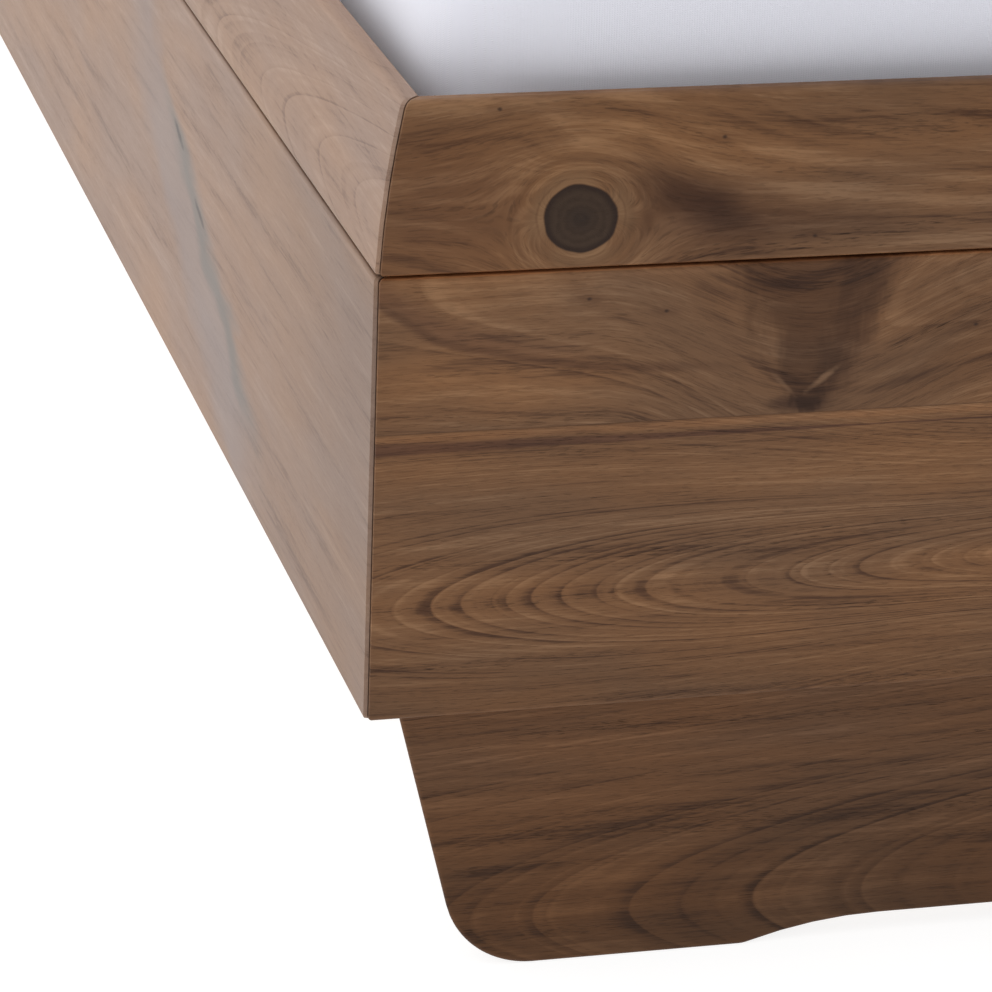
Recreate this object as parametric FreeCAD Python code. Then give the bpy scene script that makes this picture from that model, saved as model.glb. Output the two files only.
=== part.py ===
import FreeCAD, Part

import math
import os

from FreeCAD import Placement, Rotation, Vector

# A low walnut bed. Lengths are in millimetres. +X is right seen from the foot end, +Y runs from foot
# to head and +Z is up from the floor. The last step centres the bed's length on the origin.

# Mattress and the frame around it
MATTRESS_WIDTH = 1600
MATTRESS_LENGTH = 2000
MATTRESS_HEIGHT = 222
MATTRESS_CORNER_RADIUS = 48
MATTRESS_EDGE_RADIUS = 24
MATTRESS_PLAY = 5
BOARD_THICKNESS = 22
RAIL_HEIGHT = 199.4
RAIL_BOTTOM = 134.6
CAP_HEIGHT = 72.4
SHADOW_GROOVE = 1.2
SHADOW_GROOVE_DEPTH = 5
MITRE_GAP = 1.2
SIDE_EASE = 2.3
END_EASE = 1.2

# Outer face of a cap: it leans in, more so towards the top, as one convex curve
CAP_START_INSET = 0.5
CAP_BEND_INSET = 2.6
CAP_TOP_INSET = 12.7
CAP_BEND_RADIUS = 300
CAP_TOP_RADIUS = 4.5
ARRIS_RADIUS = 1
GROOVE_ARRIS_RADIUS = 1.6
RAIL_LOWER_RADIUS = 2
TIP_RADIUS = 2.6

# Runner panels behind the foot and head rails
RUNNER_THICKNESS = 22
RUNNER_TOP = 196
RUNNER_SIDE_GAP = 2
RUNNER_END_INSET = 18
RUNNER_END_SLANT = 14.4
RUNNER_END_BEVEL = 9
RUNNER_ARRIS_RADIUS = 1.8
RUNNER_CORNER_RADIUS = 42
RUNNER_PAD_END = 184.5
RUNNER_PAD_RADIUS = 15
ARCH_RISE = 10
ARCH_SLANT = 17
ARCH_RADIUS = 210

# Headboard: boards bent to one arc that leans back from the head cap
HEADBOARD_RADIUS = 1500
HEADBOARD_RISE = 490
HEADBOARD_BOARDS = ("lower", "middle", "top")
HEADBOARD_END_RADIUS = 5
STILE_WIDTH = 70
STILE_DEPTH = 45
STILE_BOTTOM = 150
STILE_SHORT_OF_TOP = 22
STILE_POSITION = 600

# Slatted base and what carries it
LEDGE_WIDTH = 25
LEDGE_HEIGHT = 40
LEDGE_TOP = 200
LEDGE_LENGTH = 1820
BASE_PLAY = 8
STRINGER_WIDTH = 30
STRINGER_HEIGHT = 50
SLAT_COUNT = 14
SLAT_WIDTH = 70
SLAT_THICKNESS = 20
BASE_LENGTH = 1990
BEAM_WIDTH = 40
BEAM_HEIGHT = 60
HANGER_THICKNESS = 3
HANGER_REACH = 50
HANGER_FLANGE = 35
LEG_WIDTH = 50
LEG_BOTTOM = 10.3

# Fixings
DOWEL_RADIUS = 4
DOWEL_LENGTH = 32
SPLINE_WIDTH = 14
SPLINE_THICKNESS = 4
BOLT_RADIUS = 4
BOLT_HEAD_RADIUS = 9
BOLT_HEAD_HEIGHT = 3
SCREW_RADIUS = 2.2
SCREW_HEAD_RADIUS = 4.5
SCREW_HEAD_HEIGHT = 2.5
BORE_CLEARANCE = 0.15
RUNNING_CLEARANCE = 0.06
BRACKET_LEG = 60
BRACKET_HEIGHT = 44
BRACKET_THICKNESS = 4
RUNNER_BOLT_COUNT = 6
RUNNER_BOLT_REACH = 650
LEDGE_SCREW_COUNT = 7
LEDGE_SCREW_REACH = 840

# Levelling foot under the centre leg
INSERT_RADIUS = 7
INSERT_LENGTH = 15
STEM_ROOM = 56
PAD_RADIUS = 20
PAD_HEIGHT = 10
PAD_EDGE_RADIUS = 1.5
SOCKET_BOTTOM = 3
STEM_TOP = 60
STEM_SLOT_WIDTH = 1.2
STEM_SLOT_DEPTH = 2.5

OPENING_WIDTH = MATTRESS_WIDTH + 2 * MATTRESS_PLAY
OPENING_LENGTH = MATTRESS_LENGTH + 2 * MATTRESS_PLAY
FRAME_WIDTH = OPENING_WIDTH + 2 * BOARD_THICKNESS
FRAME_LENGTH = OPENING_LENGTH + 2 * BOARD_THICKNESS
RAIL_TOP = RAIL_BOTTOM + RAIL_HEIGHT
CAP_TOP = RAIL_TOP + CAP_HEIGHT
SLAT_TOP = LEDGE_TOP + STRINGER_HEIGHT + SLAT_THICKNESS

TURN = {"foot": 0, "right": 90, "head": 180, "left": 270}
UP = Vector(0, 0, 1)
UPRIGHT_ALONG_X = Rotation(Vector(1, 1, 1), 120)
UPRIGHT_ALONG_Y = Rotation(Vector(1, 0, 0), 90)
TINY = 1e-6


def rounded_face(corners):
    """A flat face in the XY plane through corners (a, b, radius), each rounded to its radius."""
    places = [Vector(a, b, 0) for a, b, _ in corners]
    turns = []
    for index, (here, corner) in enumerate(zip(places, corners)):
        back = (places[index - 1] - here).normalize()
        ahead = (places[(index + 1) % len(places)] - here).normalize()
        half_angle = back.getAngle(ahead) / 2
        reach = corner[2] / math.tan(half_angle)
        inward = (back + ahead).normalize() if corner[2] else Vector()
        middle = here + inward * (corner[2] / math.sin(half_angle) - corner[2])
        turns.append((here + back * reach, middle, here + ahead * reach))
    edges = []
    for index, (start, middle, end) in enumerate(turns):
        if (end - start).Length > TINY:
            edges.append(Part.Arc(start, middle, end).toShape())
        following = turns[(index + 1) % len(turns)][0]
        if (following - end).Length > TINY:
            edges.append(Part.makeLine(end, following))
    return Part.Face(Part.Wire(edges))


def bar_along_x(corners, length):
    """A bar centred on X with the outline (y, z, radius)."""
    solid = rounded_face(corners).extrude(UP * length)
    solid.Placement = Placement(Vector(-length / 2, 0, 0), UPRIGHT_ALONG_X)
    return solid


def panel_facing_y(corners, front, thickness, shear=0):
    """A panel with the outline (x, z, radius), from y = front to front + thickness.

    The outline moves along x by shear on its way from front to back.
    """
    solid = rounded_face(corners).extrude(Vector(-shear, 0, thickness))
    solid.Placement = Placement(Vector(shear, front + thickness, 0), UPRIGHT_ALONG_Y)
    return solid


def block(low, high, radius=0):
    """A box between two corners, with its long edges rounded."""
    size = Vector(*high) - Vector(*low)
    solid = Part.makeBox(size.x, size.y, size.z, Vector(*low))
    if radius:
        longest = max(size)
        solid = solid.makeFillet(radius, [e for e in solid.Edges if abs(e.Length - longest) < TINY])
    return solid


def turned(shape, angle):
    """The shape turned about the upright through the middle of the frame."""
    copy = shape.copy()
    copy.rotate(Vector(), UP, angle)
    return copy


def mirrored(shape, normal):
    return shape.mirror(Vector(), normal)


def group(solids):
    return Part.Compound(list(solids))


def peg(start, direction, length, radius, head=0, head_height=0):
    """A round pin from start along direction. A head, if any, starts there too and is head_height long."""
    solid = Part.makeCylinder(radius, length, start, direction)
    if head:
        solid = solid.fuse(Part.makeCylinder(head, head_height, start, direction)).removeSplitter()
    return solid


def screw(start, direction, length):
    """A wood screw whose flat head is flush with start."""
    shank = Part.makeCylinder(SCREW_RADIUS, length, start, direction)
    head = Part.makeCone(SCREW_HEAD_RADIUS, SCREW_RADIUS, SCREW_HEAD_HEIGHT, start, direction)
    return shank.fuse(head).removeSplitter()


def screw_bore(start, direction, length):
    """The countersunk bore for a screw, a little wider and deeper."""
    c = BORE_CLEARANCE
    back = start - direction * c
    shank = Part.makeCylinder(SCREW_RADIUS + c, length + 2 * c, back, direction)
    head = Part.makeCone(SCREW_HEAD_RADIUS + 2 * c, SCREW_RADIUS + c, SCREW_HEAD_HEIGHT + c, back, direction)
    return shank.fuse(head)


def bolt(start, direction, length):
    """A furniture bolt whose flat head stands on the face at start."""
    outside = start - direction * BOLT_HEAD_HEIGHT
    length = length + BOLT_HEAD_HEIGHT
    return peg(outside, direction, length, BOLT_RADIUS, BOLT_HEAD_RADIUS, BOLT_HEAD_HEIGHT)


def bolt_bore(start, direction, length):
    c = BORE_CLEARANCE
    return Part.makeCylinder(BOLT_RADIUS + c, length + c, start, direction)


def spread(count, reach):
    """Count places evenly spaced from -reach to reach."""
    return [reach * (2 * index / (count - 1) - 1) for index in range(count)]


# Rails and caps


def rail_outline():
    return [
        (0, RAIL_BOTTOM, RAIL_LOWER_RADIUS),
        (BOARD_THICKNESS, RAIL_BOTTOM, ARRIS_RADIUS),
        (BOARD_THICKNESS, RAIL_TOP, 0),
        (0, RAIL_TOP, GROOVE_ARRIS_RADIUS),
    ]


def cap_outline():
    bend_height = RAIL_TOP + CAP_HEIGHT / 2
    return [
        (CAP_START_INSET, RAIL_TOP + SHADOW_GROOVE, GROOVE_ARRIS_RADIUS),
        (SHADOW_GROOVE_DEPTH, RAIL_TOP + SHADOW_GROOVE, 0),
        (SHADOW_GROOVE_DEPTH, RAIL_TOP, 0),
        (BOARD_THICKNESS, RAIL_TOP, 0),
        (BOARD_THICKNESS, CAP_TOP, 2 * ARRIS_RADIUS),
        (CAP_TOP_INSET, CAP_TOP, CAP_TOP_RADIUS),
        (CAP_BEND_INSET, bend_height, CAP_BEND_RADIUS),
    ]


def between_mitres(half):
    """The space between two mitre planes that meet the outer face at x = -half and x = half."""
    margin = 10
    inner = BOARD_THICKNESS + margin
    footprint = [
        (-half - margin, -margin, 0),
        (half + margin, -margin, 0),
        (half - inner, inner, 0),
        (inner - half, inner, 0),
    ]
    return rounded_face(footprint).extrude(UP * 2 * CAP_TOP)


def tip_chip(tip, edge, side, above):
    """What rounding takes off a mitre's tip at x = tip, where a board's edge lies at z = edge.

    side is the sign of the way from the tip to the board along x, and above is 1 or -1 along z.
    """
    r = TIP_RADIUS
    depth = SHADOW_GROOVE_DEPTH + r
    around = Part.makeBox(2 * r, depth, 2 * r, Vector(tip - r, -r, edge - r))
    kept = Part.makeCylinder(r, depth, Vector(tip + side * r, -r, edge + above * r), Vector(0, 1, 0))
    return around.cut(kept)


def mitred(outline, length, ease, rounded_edges):
    """A board with its outer face at y = 0, mitred at both ends, with the mitres' sharp edges eased.

    rounded_edges are (z, 1 or -1 for the way to the board) of the edges whose tips are rounded.
    """
    bar = bar_along_x(outline, length)
    half = length / 2 - MITRE_GAP / math.sqrt(2)
    board = bar.common(between_mitres(half - ease))
    ends = sorted(board.Faces, key=lambda face: face.CenterOfMass.x)
    slope = math.sqrt(0.5)
    for direction, end in ((-1, ends[0]), (1, ends[-1])):
        tip = end.extrude(Vector(direction * (1 - slope) * ease, slope * ease, 0))
        board = board.fuse(tip.common(bar))
    tips = half - ease / 2
    chips = [tip_chip(-x * tips, z, x, above) for x in (-1, 1) for z, above in rounded_edges]
    return board.removeSplitter().cut(group(chips)).Solids[0]


def side_of_frame(board, side):
    """Moves a board that has its outer face at y = 0 to one side of the frame."""
    reach = FRAME_WIDTH if side in ("left", "right") else FRAME_LENGTH
    placed = board.copy()
    placed.translate(Vector(0, -reach / 2, 0))
    return turned(placed, TURN[side])


def frame_boards():
    """The four rails and the four caps on them."""
    boards = {}
    for side in TURN:
        across = side in ("foot", "head")
        length = FRAME_WIDTH if across else FRAME_LENGTH
        ease = END_EASE if across else SIDE_EASE
        rail_name = f"{side}_rail" if across else f"{side}_side_rail"
        cap_name = f"{side}_cap" if across else f"{side}_side_cap"
        rail_edges = ((RAIL_BOTTOM, 1), (RAIL_TOP, -1))
        cap_edges = ((RAIL_TOP + SHADOW_GROOVE, 1),)
        boards[rail_name] = side_of_frame(mitred(rail_outline(), length, ease, rail_edges), side)
        boards[cap_name] = side_of_frame(mitred(cap_outline(), length, ease, cap_edges), side)
    return boards


def mitre_splines(clearance=0):
    """Loose tongues across the mitres: a tall one in each rail corner, a short one in each cap corner."""
    middle = BOARD_THICKNESS / 2
    spans = ((RAIL_BOTTOM + 20, RAIL_TOP - 20, middle), (RAIL_TOP + 8, RAIL_TOP + 36, middle + 2))
    c = clearance
    splines = []
    for x in (-1, 1):
        for y in (-1, 1):
            for bottom, top, inset in spans:
                width = SPLINE_WIDTH + 2 * c
                thickness = SPLINE_THICKNESS + 2 * c
                spline = Part.makeBox(width, thickness, top - bottom + 2 * c)
                spline.translate(Vector(-width / 2, -thickness / 2, bottom - c))
                spline.rotate(Vector(), UP, math.degrees(math.atan2(-y, x)))
                spline.translate(Vector(x * (FRAME_WIDTH / 2 - inset), y * (FRAME_LENGTH / 2 - inset), 0))
                splines.append(spline)
    return group(splines)


def cap_dowels(clearance=0):
    """Upright dowels between each rail and its cap."""
    c = clearance
    dowels = []
    for side, count, reach in (("foot", 6, 720), ("head", 6, 720), ("left", 8, 920), ("right", 8, 920)):
        for along in spread(count, reach):
            base = Vector(along, BOARD_THICKNESS / 2, RAIL_TOP - DOWEL_LENGTH / 2 - c)
            dowel = Part.makeCylinder(DOWEL_RADIUS + c, DOWEL_LENGTH + 2 * c, base, UP)
            dowels.append(side_of_frame(dowel, side))
    return group(dowels)


# Runners


def runner_outline():
    """The runner with square ends: its right half down to the arch, then the same mirrored."""
    half = FRAME_WIDTH / 2
    pad_end = half - RUNNER_PAD_END
    arch_start = pad_end - ARCH_RISE / math.tan(math.radians(ARCH_SLANT))
    shoulder = half - BOARD_THICKNESS - RUNNER_SIDE_GAP
    right = [
        (shoulder, RUNNER_TOP, ARRIS_RADIUS),
        (shoulder, RAIL_BOTTOM, 0),
        (half, RAIL_BOTTOM, 0),
        (half, 0, 0),
        (pad_end, 0, RUNNER_PAD_RADIUS),
        (arch_start, ARCH_RISE, ARCH_RADIUS),
    ]
    return right + [(-x, z, radius) for x, z, radius in reversed(right)]


def left_end_of_runner(front):
    """What the runner's left end is cut back to: slanted, rounded at the floor and bevelled to the rear."""
    half = FRAME_WIDTH / 2
    slant = math.tan(math.radians(RUNNER_END_SLANT))
    at_floor = half - RUNNER_END_INSET - RAIL_BOTTOM * slant
    outline = [
        (-at_floor - RUNNER_TOP * slant, RUNNER_TOP, 0),
        (-at_floor, 0, RUNNER_CORNER_RADIUS),
        (half, 0, 0),
        (half, RUNNER_TOP, 0),
    ]
    bevel = RUNNER_THICKNESS * math.tan(math.radians(RUNNER_END_BEVEL))
    return panel_facing_y(outline, front, RUNNER_THICKNESS, bevel)


def runner():
    """The foot runner, against the inner face of the foot rail, with its lower outline eased."""
    front = BOARD_THICKNESS - FRAME_LENGTH / 2
    end = left_end_of_runner(front)
    panel = panel_facing_y(runner_outline(), front, RUNNER_THICKNESS)
    panel = panel.common(end).common(mirrored(end, Vector(1, 0, 0)))
    faces = (front, front + RUNNER_THICKNESS)
    lower = [
        edge
        for edge in panel.Edges
        if edge.BoundBox.ZMax < RAIL_BOTTOM + TINY
        and edge.BoundBox.ZMin < RAIL_BOTTOM - 1
        and any(abs(edge.BoundBox.YMin - y) + abs(edge.BoundBox.YMax - y) < 0.01 for y in faces)
    ]
    return panel.makeFillet(RUNNER_ARRIS_RADIUS, lower)


def runner_bolts(make):
    """Bolts through the foot runner into the foot rail, and the same at the head."""
    inner_face = BOARD_THICKNESS + RUNNER_THICKNESS - FRAME_LENGTH / 2
    height = (RAIL_BOTTOM + RUNNER_TOP) / 2
    into_rail = 16
    at_foot = [
        make(Vector(x, inner_face, height), Vector(0, -1, 0), RUNNER_THICKNESS + into_rail)
        for x in spread(RUNNER_BOLT_COUNT, RUNNER_BOLT_REACH)
    ]
    return group(at_foot + [turned(one, 180) for one in at_foot])


# Corner brackets


def corner_bracket():
    """An angle of thick sheet between the foot runner and the left side rail, bored for four screws."""
    x = -OPENING_WIDTH / 2
    y = -OPENING_LENGTH / 2 + RUNNER_THICKNESS
    t = BRACKET_THICKNESS
    outline = [
        (x, y, 0),
        (x + BRACKET_LEG, y, 0),
        (x + BRACKET_LEG, y + t, ARRIS_RADIUS),
        (x + t, y + t, t / 2),
        (x + t, y + BRACKET_LEG, ARRIS_RADIUS),
        (x, y + BRACKET_LEG, 0),
    ]
    angle = rounded_face(outline).extrude(UP * BRACKET_HEIGHT)
    angle.translate(UP * (RAIL_BOTTOM + 8))
    return angle


def bracket_screws(make):
    """The four screws of the bracket at the foot's left corner."""
    x = -OPENING_WIDTH / 2 + BRACKET_THICKNESS
    y = -OPENING_LENGTH / 2 + RUNNER_THICKNESS + BRACKET_THICKNESS
    length = 20
    edge_distance = 18
    across = 48
    screws = []
    for height in (RAIL_BOTTOM + 18, RAIL_BOTTOM + 42):
        screws.append(make(Vector(x, y - BRACKET_THICKNESS + across, height), Vector(-1, 0, 0), length))
        along = x - BRACKET_THICKNESS + BRACKET_LEG - edge_distance
        screws.append(make(Vector(along, y, height), Vector(0, -1, 0), length))
    return group(screws)


def four_corners(shape):
    """The shape at the foot's left corner and its mirror images at the other three."""
    right = mirrored(shape, Vector(1, 0, 0))
    return {
        "foot_left": shape,
        "foot_right": right,
        "head_left": mirrored(shape, Vector(0, 1, 0)),
        "head_right": mirrored(right, Vector(0, 1, 0)),
    }


# Slatted base and its supports


def ledge():
    """The left ledge, screwed to the inner face of the side rail."""
    x = -OPENING_WIDTH / 2
    low = (x, -LEDGE_LENGTH / 2, LEDGE_TOP - LEDGE_HEIGHT)
    return block(low, (x + LEDGE_WIDTH, LEDGE_LENGTH / 2, LEDGE_TOP), ARRIS_RADIUS)


def ledge_screws(make):
    x = -OPENING_WIDTH / 2 + LEDGE_WIDTH
    height = LEDGE_TOP - LEDGE_HEIGHT / 2
    rows = spread(LEDGE_SCREW_COUNT, LEDGE_SCREW_REACH)
    left = [make(Vector(x, y, height), Vector(-1, 0, 0), LEDGE_WIDTH + 17) for y in rows]
    return group(left + [mirrored(one, Vector(1, 0, 0)) for one in left])


def beam_end():
    """How far the centre beam reaches from the middle."""
    return OPENING_LENGTH / 2 - RUNNER_THICKNESS - HANGER_THICKNESS


def centre_beam():
    low = (-BEAM_WIDTH / 2, -beam_end(), LEDGE_TOP - BEAM_HEIGHT)
    return block(low, (BEAM_WIDTH / 2, beam_end(), LEDGE_TOP), ARRIS_RADIUS)


def beam_hanger():
    """A bent shoe on the foot runner: two flanges and a back plate, with a seat and cheeks for the beam."""
    t = HANGER_THICKNESS
    back = -beam_end() - t
    seat = LEDGE_TOP - BEAM_HEIGHT
    half = BEAM_WIDTH / 2
    top = RUNNER_TOP - 6
    plate = block((-half - HANGER_FLANGE, back, seat - t), (half + HANGER_FLANGE, back + t, top))
    shoe = block((-half - t, back, seat - t), (half + t, back + HANGER_REACH, top))
    hollow = block((-half, back + t, seat), (half, back + 2 * HANGER_REACH, top + t))
    return plate.fuse(shoe).cut(hollow).removeSplitter()


def hanger_screws(make):
    """Four screws for each hanger."""
    face = -beam_end()
    out = BEAM_WIDTH / 2 + HANGER_FLANGE - 14
    at_foot = [
        make(Vector(x, face, height), Vector(0, -1, 0), 18)
        for x in (-out, out)
        for height in (LEDGE_TOP - 48, LEDGE_TOP - 24)
    ]
    return group(at_foot + [mirrored(one, Vector(0, 1, 0)) for one in at_foot])


def centre_leg():
    half = LEG_WIDTH / 2
    post = block((-half, -half, LEG_BOTTOM), (half, half, LEDGE_TOP - BEAM_HEIGHT), 3)
    insert_seat = Part.makeCylinder(INSERT_RADIUS, INSERT_LENGTH, Vector(0, 0, LEG_BOTTOM), UP)
    stem_room = Part.makeCylinder(BOLT_RADIUS + 1, STEM_ROOM, Vector(0, 0, LEG_BOTTOM), UP)
    return post.cut(insert_seat.fuse(stem_room))


def leg_insert():
    """The threaded sleeve in the leg's lower end."""
    bottom = Vector(0, 0, LEG_BOTTOM)
    sleeve = Part.makeCylinder(INSERT_RADIUS, INSERT_LENGTH, bottom, UP)
    bore = Part.makeCylinder(BOLT_RADIUS + RUNNING_CLEARANCE, INSERT_LENGTH, bottom, UP)
    return sleeve.cut(bore)


def leg_bolt(clearance=0):
    """The headless bolt that joins the leg to the beam."""
    c = clearance
    start = Vector(0, 0, LEDGE_TOP - BEAM_HEIGHT - 40 - c)
    return Part.makeCylinder(BOLT_RADIUS + c, 80 + 2 * c, start, UP)


def levelling_pad():
    """A round foot with rounded edges and a socket for the stem."""
    pad = Part.makeCylinder(PAD_RADIUS, PAD_HEIGHT, Vector(), UP)
    rims = [e for e in pad.Edges if abs(e.BoundBox.ZMax - e.BoundBox.ZMin) < TINY]
    pad = pad.makeFillet(PAD_EDGE_RADIUS, rims)
    socket = Part.makeCylinder(BOLT_RADIUS + RUNNING_CLEARANCE, PAD_HEIGHT, Vector(0, 0, SOCKET_BOTTOM), UP)
    return pad.cut(socket)


def levelling_stem():
    """The stem, whose cross slot in the top end shows how far it is turned."""
    bottom = SOCKET_BOTTOM + RUNNING_CLEARANCE
    stem = Part.makeCylinder(BOLT_RADIUS, STEM_TOP - bottom, Vector(0, 0, bottom), UP)
    half = STEM_SLOT_WIDTH / 2
    slot = block((-BOLT_RADIUS, -half, STEM_TOP - STEM_SLOT_DEPTH), (BOLT_RADIUS, half, STEM_TOP + 1))
    return stem.cut(slot)


def stringers():
    """Three lengthwise bars under the slats."""
    outer = OPENING_WIDTH / 2 - BASE_PLAY - STRINGER_WIDTH
    lefts = {"left": -outer - STRINGER_WIDTH, "centre": -STRINGER_WIDTH / 2, "right": outer}
    half = BASE_LENGTH / 2
    top = LEDGE_TOP + STRINGER_HEIGHT
    return {
        f"base_{name}_stringer": block((x, -half, LEDGE_TOP), (x + STRINGER_WIDTH, half, top), 2)
        for name, x in lefts.items()
    }


def slat_places():
    return spread(SLAT_COUNT, (BASE_LENGTH - SLAT_WIDTH) / 2)


def slat(y):
    half = OPENING_WIDTH / 2 - BASE_PLAY
    low = (-half, y - SLAT_WIDTH / 2, SLAT_TOP - SLAT_THICKNESS)
    return block(low, (half, y + SLAT_WIDTH / 2, SLAT_TOP), 3)


def slat_screws(make, places):
    """Three screws down through each slat into the stringers."""
    outer = OPENING_WIDTH / 2 - BASE_PLAY - STRINGER_WIDTH / 2
    return group(make(Vector(x, y, SLAT_TOP), -UP, 42) for y in places for x in (-outer, 0, outer))


def mattress():
    """The mattress as one block with round corners and edges."""
    x = MATTRESS_WIDTH / 2
    y = MATTRESS_LENGTH / 2
    corners = [(sx * x, sy * y, MATTRESS_CORNER_RADIUS) for sx, sy in ((-1, -1), (1, -1), (1, 1), (-1, 1))]
    body = rounded_face(corners).extrude(UP * MATTRESS_HEIGHT)
    rims = [e for e in body.Edges if abs(e.BoundBox.ZMax - e.BoundBox.ZMin) < 0.01]
    body = body.makeFillet(MATTRESS_EDGE_RADIUS, rims)
    body.translate(UP * SLAT_TOP)
    return body


# Headboard


def headboard_angle():
    return math.degrees(math.asin(HEADBOARD_RISE / HEADBOARD_RADIUS))


def arc_point(radius, angle):
    """A point (y, z) on an arc about the headboard's centre of curvature, angle degrees up from level."""
    centre_y = OPENING_LENGTH / 2 + HEADBOARD_RADIUS
    centre_z = CAP_TOP + SHADOW_GROOVE
    turn = math.radians(angle)
    return Vector(0, centre_y - radius * math.cos(turn), centre_z + radius * math.sin(turn))


def arc_strip(outer_radius, inner_radius, start, end, width):
    """A bent board of the given width, between two angles and two radii."""
    middle = (start + end) / 2
    front = Part.Arc(*(arc_point(outer_radius, a) for a in (start, middle, end))).toShape()
    back = Part.Arc(*(arc_point(inner_radius, a) for a in (end, middle, start))).toShape()
    top = Part.makeLine(arc_point(outer_radius, end), arc_point(inner_radius, end))
    bottom = Part.makeLine(arc_point(inner_radius, start), arc_point(outer_radius, start))
    strip = Part.Face(Part.Wire([front, top, back, bottom])).extrude(Vector(width, 0, 0))
    strip.translate(Vector(-width / 2, 0, 0))
    return strip


def headboard_boards():
    """Bent boards one above the other, with a shadow groove at the foot of each but the lowest."""
    width = FRAME_WIDTH - 2 * CAP_TOP_INSET
    back = HEADBOARD_RADIUS - BOARD_THICKNESS
    share = headboard_angle() / len(HEADBOARD_BOARDS)
    groove = math.degrees(SHADOW_GROOVE / HEADBOARD_RADIUS)
    boards = {}
    for index, name in enumerate(HEADBOARD_BOARDS):
        start = index * share
        board = arc_strip(HEADBOARD_RADIUS, back, start, start + share, width)
        upright = [e for e in board.Edges if is_board_end_edge(e)]
        board = board.makeFillet(HEADBOARD_END_RADIUS, upright)
        if index == len(HEADBOARD_BOARDS) - 1:
            crest = [e for e in board.Edges if e.BoundBox.XLength > width - 3 * HEADBOARD_END_RADIUS]
            board = board.makeFillet(HEADBOARD_END_RADIUS, [max(crest, key=lambda e: e.BoundBox.ZMax)])
        if index:
            relief = arc_strip(
                HEADBOARD_RADIUS + SHADOW_GROOVE_DEPTH,
                HEADBOARD_RADIUS - SHADOW_GROOVE_DEPTH,
                start - groove,
                start + groove,
                FRAME_WIDTH,
            )
            board = board.cut(relief)
        boards[f"headboard_{name}_board"] = board
    return boards


def is_board_end_edge(edge):
    """True for the upright front edges at the two ends of a bent board."""
    box = edge.BoundBox
    middle = edge.valueAt((edge.FirstParameter + edge.LastParameter) / 2)
    centre = arc_point(0, 0)
    reach = math.hypot(middle.y - centre.y, middle.z - centre.z)
    return box.XLength < 0.01 and box.ZLength > STILE_DEPTH and abs(reach - HEADBOARD_RADIUS) < 0.01


def stile():
    """The left stile: straight up the back of the head rail, then bent along the back of the boards."""
    front_radius = HEADBOARD_RADIUS - BOARD_THICKNESS
    back_radius = front_radius - STILE_DEPTH
    end = headboard_angle() - math.degrees(STILE_SHORT_OF_TOP / HEADBOARD_RADIUS)
    bent = arc_strip(front_radius, back_radius, 0, end, STILE_WIDTH)
    foot = block(
        (-STILE_WIDTH / 2, FRAME_LENGTH / 2, STILE_BOTTOM),
        (STILE_WIDTH / 2, FRAME_LENGTH / 2 + STILE_DEPTH, CAP_TOP + SHADOW_GROOVE),
    )
    whole = bent.fuse(foot).removeSplitter()
    back = FRAME_LENGTH / 2 + STILE_DEPTH - 1
    rear = [e for e in whole.Edges if e.BoundBox.YMin > back and e.BoundBox.ZLength > STILE_DEPTH]
    whole = whole.makeFillet(4, rear)
    whole.translate(Vector(-STILE_POSITION, 0, 0))
    return whole


def headboard_bolts(make):
    """Two bolts through each stile into the head rail."""
    back = FRAME_LENGTH / 2 + STILE_DEPTH
    return group(
        make(Vector(x, back, height), Vector(0, -1, 0), STILE_DEPTH + 17)
        for x in (-STILE_POSITION, STILE_POSITION)
        for height in (RAIL_BOTTOM + 50, RAIL_BOTTOM + 150)
    )


def headboard_screws(make):
    """Two screws through each stile into each board, square to the bent face."""
    share = headboard_angle() / len(HEADBOARD_BOARDS)
    screws = []
    for index in range(len(HEADBOARD_BOARDS)):
        for part in (0.25, 0.75):
            angle = (index + part) * share
            start = arc_point(HEADBOARD_RADIUS - BOARD_THICKNESS - STILE_DEPTH, angle)
            ahead = (arc_point(HEADBOARD_RADIUS, angle) - start).normalize()
            for x in (-STILE_POSITION, STILE_POSITION):
                screws.append(make(start + Vector(x, 0, 0), ahead, STILE_DEPTH + 17))
    return group(screws)


# Assembly


def bored(parts, names, bores):
    """Cuts the bores out of each of the named parts, one after another."""
    for name in names:
        for bore in bores.Solids:
            if bore.BoundBox.intersect(parts[name].BoundBox):
                parts[name] = parts[name].cut(bore)


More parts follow.
